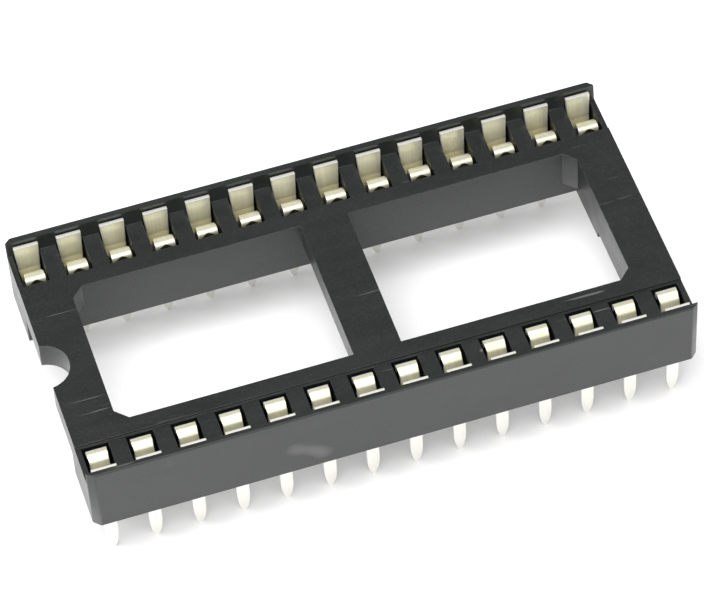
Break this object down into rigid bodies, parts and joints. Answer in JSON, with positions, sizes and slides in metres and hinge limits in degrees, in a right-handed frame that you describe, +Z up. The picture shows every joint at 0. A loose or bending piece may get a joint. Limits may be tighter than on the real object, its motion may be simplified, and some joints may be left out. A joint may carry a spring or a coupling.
{
  "type": "ic socket",
  "caption": "Low-profile integrated circuit socket: a black open ladder frame with a half-round notch, and two rows of dual-leaf stamped contacts with straight solder tails.",
  "frame": {"origin": "Middle of the part in length and width, on the plane that the tails' tips stand on. The frame's seating plane is 3.85 mm above it.", "axes": "X along the two rows, with the notched end at -X. Y across the rows, with pins 1 to 14 at -Y and 15 to 28 at +Y. Z up, out of the side that the chip plugs into."},
  "size_m": [0.0352, 0.0178, 0.0084],
  "materials": {
    "housing": "matte",
    "contact": "satin"
  },
  "bodies": {
    "root": {"frame": "housing", "contact_01": "contact", "contact_02": "contact", "contact_03": "contact", "contact_04": "contact", "contact_05": "contact", "contact_06": "contact", "contact_07": "contact", "contact_08": "contact", "contact_09": "contact", "contact_10": "contact", "contact_11": "contact", "contact_12": "contact", "contact_13": "contact", "contact_14": "contact", "contact_15": "contact", "contact_16": "contact", "contact_17": "contact", "contact_18": "contact", "contact_19": "contact", "contact_20": "contact", "contact_21": "contact", "contact_22": "contact", "contact_23": "contact", "contact_24": "contact", "contact_25": "contact", "contact_26": "contact", "contact_27": "contact", "contact_28": "contact"}
  },
  "joints": []
}
